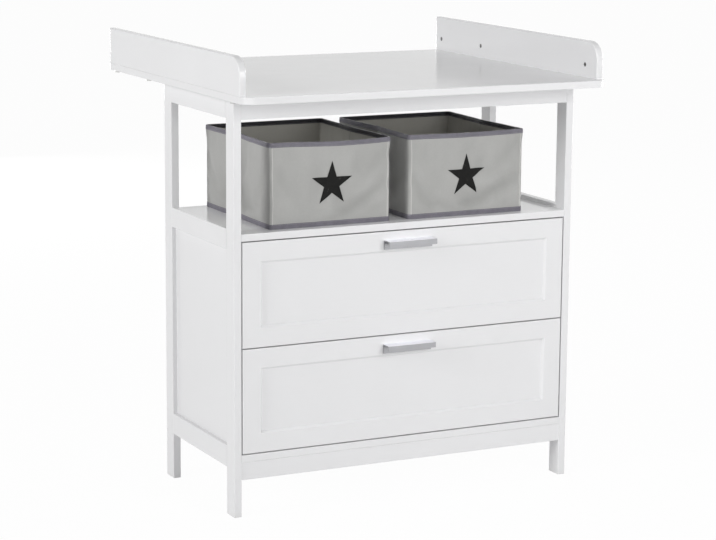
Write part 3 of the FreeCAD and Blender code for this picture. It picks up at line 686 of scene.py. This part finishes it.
def bindRim(shell, side, middle, tapeFrom, shape):
    # binding over the rim, with painted shade on its inner side, which gets a much darker copy
    # of the tape
    stitches = tapeFrom + shape["stitchIn"]
    outside = makeTape(f"rimTape_{side}", tape["light"], tape["dark"], stitches)
    shadedInside = makeTape(f"rimTapeShadedInside_{side}", tape["insideLight"], tape["insideDark"],
                      stitches)
    pickMarked(shell, "sewnHeight", tapeFrom - shape["onEdge"], 9)
    rim = takeCopy(shell, f"rimTape_{side}")
    standProud(rim, shape["tapeProud"])
    addModifier(rim, "SOLIDIFY", thickness=shape["wall"] + shape["tapeProud"] * 2, offset=-1,
                use_even_offset=True)
    addModifier(rim, "BEVEL", width=shape["tapeRound"], segments=2, limit_method="ANGLE",
                angle_limit=math.radians(50))
    settle(rim)
    dress(rim, f"{side}_box", "grey_fabric", outside, shadedInside)
    for face in rim.data.polygons:
        face.material_index = 1 if (middle - face.center).dot(face.normal) > 0.002 else 0


def bindHem(shell, side, tapeTo, shape):
    # binding round the bottom edge
    material = makeTape(f"hemTape_{side}", tape["light"], tape["dark"],
                        tapeTo - shape["stitchIn"])
    pick(shell, lambda spot, normal: abs(normal.z) < 0.7 and spot.z < tapeTo)
    hem = takeCopy(shell, f"hemTape_{side}")
    standProud(hem, shape["tapeProud"])
    addModifier(hem, "SOLIDIFY", thickness=shape["tapeProud"] + shape["tapeUnder"], offset=-1,
                use_even_offset=True)
    settle(hem)
    dress(hem, f"{side}_box", "grey_fabric", material)


def cordCorners(shell, side, lowest, highest, shape):
    # corded edge of the stiff front and back panels, up each corner, in a paler felt as a
    # painted highlight on the edge
    pickMarked(shell, "panelEdge", lowest, highest, "EDGE")
    cords = takeCopy(shell, f"cornerCords_{side}")
    bpy.ops.object.convert(target="CURVE")
    cords.data.bevel_depth = shape["cornerCord"]
    cords.data.bevel_resolution = 3
    cords.data.use_fill_caps = True
    bpy.ops.object.convert(target="MESH")
    settle(cords)
    dress(cords, f"{side}_box", "grey_fabric", cordFeltPaintedHighlight)


def printStar(shell, side, low):
    # the star lies on the front wall and follows its dents
    star = starShape[side]
    centre = Vector((low.x + star["across"], low.y - starInFront, low.z + star["up"]))
    bpy.ops.object.select_all(action="DESELECT")
    bpy.ops.mesh.primitive_circle_add(vertices=10, radius=star["radius"], fill_type="NGON",
                                      location=centre, rotation=(math.radians(90), 0, 0))
    badge = bpy.context.object
    badge.name = f"star_{side}"
    bpy.ops.object.transform_apply(location=True, rotation=True, scale=True)
    corners = [vertex.co.copy() for vertex in badge.data.vertices]
    topmost = max(range(10), key=lambda index: corners[index].z)
    tips = corners[topmost % 2::2]
    pick(badge, lambda spot: all((spot - tip).length > 0.001 for tip in tips), "VERT")
    bpy.ops.transform.resize(value=(starWaist,) * 3, center_override=centre)
    bpy.ops.mesh.select_all(action="SELECT")
    bpy.ops.mesh.poke()
    bpy.ops.mesh.subdivide(number_cuts=7)
    finishEdit()
    addModifier(badge, "SHRINKWRAP", target=shell, wrap_method="PROJECT", use_project_y=True,
                use_positive_direction=True, use_negative_direction=True, offset=starProud)
    addModifier(badge, "SOLIDIFY", thickness=starThick, offset=0)
    settle(badge)
    dress(badge, f"{side}_box", "insert_fabric", starFinish)


def makeFabricBox(side, shape=boxShape):
    node = f"fabric_box_{side}"
    low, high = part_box(node)
    shell = makeShell(side, low, high, shape)
    foldSides(shell, low, high, shape["cuts"])
    foldFront(shell, low, high, frontFolds[side])
    sagRim(shell, low, high, side, shape["onEdge"])
    rowHeight = (high.z - low.z) / (shape["cuts"] + 1) ** 2
    tapeHeight = rowHeight * shape["tapeRows"]
    pullCloth(shell, low, high, tapeHeight)
    texture = bpy.data.textures.new(f"dents_{side}", "CLOUDS")
    texture.noise_scale = shape["waveSize"]
    addModifier(shell, "DISPLACE", texture=texture, strength=shape["wave"] * 2,
                mid_level=0.5, texture_coords="LOCAL")
    keepInside(shell, low, high, shape["outwardMost"])
    markFolds(shell, low, high, shape["inwardMost"])

    bindRim(shell, side, (low + high) / 2, high.z - tapeHeight, shape)
    bindHem(shell, side, low.z + tapeHeight, shape)
    cordCorners(shell, side, low.z + tapeHeight * 0.9, high.z - tapeHeight * 0.9, shape)
    printStar(shell, side, low)

    dress(shell, f"{side}_box", "grey_fabric", outsideFelt, insideFeltPaintedLight)
    addModifier(shell, "SOLIDIFY", thickness=shape["wall"], offset=-1, use_even_offset=True,
                material_offset=1)
    settle(shell, 60)
    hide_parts(node)


for side in ("left", "right"):
    makeFabricBox(side)
print("fabric boxes made")


# stiff board in the bottom of each box, wrapped in the inside felt with its painted light
def makeBoxBase(side):
    node = f"box_base_{side}"
    low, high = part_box(node)
    bpy.ops.object.select_all(action="DESELECT")
    bpy.ops.mesh.primitive_cube_add(size=1, location=(low + high) / 2, scale=high - low)
    base = bpy.context.object
    base.name = f"boxBase_{side}"
    bpy.ops.object.transform_apply(location=True, rotation=True, scale=True)
    pick(base, lambda spot, normal: True)
    bpy.ops.mesh.bevel(offset=0.0012, segments=3)
    finishEdit()
    settle(base)
    dress(base, f"{side}_box", "insert_fabric", insideFeltPaintedLight)
    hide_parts(node)


for side in ("left", "right"):
    makeBoxBase(side)


# bolts and round nuts that hold the guards
hardware = {
    "places": (-0.315, 0.161, 0.360),
    "headRadius": 0.0065,
    "headHeight": 0.004,
    "socketRadius": 0.0025,
    "socketDepth": 0.0024,
    "shankRadius": 0.003,
    "shankLength": 0.0555,
    "nutRadius": 0.005,
    "nutHeight": 0.9605,
    "nutLength": 0.0120,
    "sunk": 0.0004,
    "slotWidth": 0.0016,
    "slotDepth": 0.0014,
    "edge": 0.0004,
}


def placeCopies(model, name, places, node, finish):
    # one modelled piece, set down at each place and joined
    copies = []
    for place, turn in places:
        copy = model.copy()
        copy.data = model.data.copy()
        copy.matrix_world = Matrix.Translation(place) @ turn
        bpy.context.collection.objects.link(copy)
        copies.append(copy)
    bpy.data.objects.remove(model)
    only(copies[0])
    for copy in copies:
        copy.select_set(True)
    bpy.ops.object.join()
    joined = bpy.context.object
    joined.name = name
    settle(joined, 30)
    dress(joined, "carcass", "zinc_steel", finish)
    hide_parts(node)


def makeBolts(look=hardware):
    # modelled head down, with a six-sided socket in the head
    bpy.ops.object.select_all(action="DESELECT")
    bpy.ops.mesh.primitive_cylinder_add(vertices=36, radius=look["headRadius"],
                                        depth=look["headHeight"])
    bolt = bpy.context.object
    underside = -look["headHeight"] / 2
    pick(bolt, lambda spot, normal: normal.z < -0.9)
    bpy.ops.mesh.bevel(offset=look["edge"] * 2, segments=3)
    pick(bolt, lambda spot, normal: normal.z > 0.9)
    bpy.ops.mesh.inset(thickness=look["headRadius"] - look["shankRadius"])
    bpy.ops.mesh.extrude_region_move(
        TRANSFORM_OT_translate={"value": (0, 0, look["shankLength"])})
    finishEdit()
    bpy.ops.object.select_all(action="DESELECT")
    bpy.ops.mesh.primitive_cylinder_add(vertices=6, radius=look["socketRadius"],
                                        depth=look["socketDepth"] * 2,
                                        location=(0, 0, underside))
    socket = bpy.context.object
    addModifier(bolt, "BOOLEAN", object=socket, operation="DIFFERENCE")
    bpy.data.objects.remove(socket)
    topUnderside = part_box("changing_top")[0].z
    across = sum(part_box("guard_left"), Vector()).x / 2
    places = [(Vector((side * across, place, topUnderside + underside)), Matrix.Identity(4))
              for side in (1, -1) for place in look["places"]]
    placeCopies(bolt, "guardBolts", places, "guard_bolts", finishes["zinc_steel"])


def makeNuts(look=hardware):
    # a round nut lying in the guard, its slotted end just below the inner face
    bpy.ops.object.select_all(action="DESELECT")
    bpy.ops.mesh.primitive_cylinder_add(vertices=36, radius=look["nutRadius"],
                                        depth=look["nutLength"],
                                        location=(0, 0, -look["nutLength"] / 2))
    nut = bpy.context.object
    bpy.ops.object.transform_apply(location=True, rotation=True, scale=True)
    pick(nut, lambda spot, normal: normal.z > 0.9)
    bpy.ops.mesh.bevel(offset=look["edge"], segments=2)
    finishEdit()
    bpy.ops.object.select_all(action="DESELECT")
    bpy.ops.mesh.primitive_cube_add(
        size=1, scale=(look["slotWidth"], look["nutRadius"] * 3, look["slotDepth"] * 2))
    blade = bpy.context.object
    addModifier(nut, "BOOLEAN", object=blade, operation="DIFFERENCE")
    bpy.data.objects.remove(blade)
    inner = {side: min(abs(corner.x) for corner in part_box(f"guard_{name}"))
             for side, name in ((-1, "left"), (1, "right"))}
    places = [(Vector((side * (inner[side] + look["sunk"]), place, look["nutHeight"])),
               Matrix.Rotation(math.radians(-90 * side), 4, "Y"))
              for side in (-1, 1) for place in look["places"]]
    placeCopies(nut, "guardNuts", places, "guard_barrel_nuts", darkZinc)


darkZinc = makeSteel("darkZinc", (0.16, 0.155, 0.15), (0.08, 0.08, 0.08), 0.35, 0.5)
makeBolts()
makeNuts()
print("bolts and nuts made")


# floor, world and lamps

stageSet = {
    "floorColour": (0.85, 0.85, 0.85),
    "floorGlow": 0.97,
    "floorSize": 90,
    "floorDrop": 0.0002,
    "ambient": 0.24,
    "lamps": {
        "frontLamp": {"place": (0.65, -3.0, 1.5), "size": 1.4, "power": 43},
        "leftLamp": {"place": (-5.2, -1.1, 2.4), "size": 2.0, "power": 140},
        "rearLamp": {"place": (0.0, 5.2, 1.0), "size": 1.6, "power": 135},
        "rightLamp": {"place": (5.5, 0.4, 0.9), "size": 2.0, "power": 120},
    },
    "aim": (0, -0.1, 0.55),
}


def seenAsWhite(graph):
    # one for the rays that look at the background, and nought for those that light the object
    camera, glossy, through = (graph.add("LightPath", out=f"Is {name} Ray")
                               for name in ("Camera", "Glossy", "Transmission"))
    return camera | glossy | through


def makeStage(look=stageSet):
    bpy.ops.object.select_all(action="DESELECT")
    bpy.ops.mesh.primitive_plane_add(size=look["floorSize"],
                                     location=(0, 0, -look["floorDrop"]))
    floor = bpy.context.object
    floor.name = "studioFloor"
    paint = Finish("studioFloorPaint")
    paint.set(colour=paint.blend(paint.noise(3), look["floorColour"],
                                 tuple(value * 0.98 for value in look["floorColour"])),
              rough=0.9, specular=0.0)
    glow = paint.add("Emission", {}, {"Color": (1, 1, 1, 1), "Strength": 1.0})
    mixed = paint.add("MixShader", {}, {0: seenAsWhite(paint) * look["floorGlow"],
                                        1: Wire(paint, paint.surface.outputs[0]), 2: glow})
    output = [node for node in paint.tree.nodes if node.type == "OUTPUT_MATERIAL"][0]
    paint.feed(output.inputs["Surface"], mixed)
    floor.data.materials.append(paint.material)

    world = bpy.data.worlds.new("studio")
    bpy.context.scene.world = world
    world.use_nodes = True
    sky = Graph(world.node_tree)
    back = sky.tree.nodes["Background"]
    back.inputs["Color"].default_value = (1, 1, 1, 1)
    sky.feed(back.inputs["Strength"],
             seenAsWhite(sky) * (1 - look["ambient"]) + look["ambient"])

    for name, lamp in look["lamps"].items():
        bpy.ops.object.light_add(type="AREA", location=lamp["place"])
        light = bpy.context.object
        light.name = name
        light.data.size = lamp["size"]
        light.data.energy = lamp["power"]
        light.visible_camera = False
        aim = Vector(look["aim"]) - Vector(lamp["place"])
        light.rotation_euler = aim.to_track_quat("-Z", "Y").to_euler()


makeStage()
print("stage set")
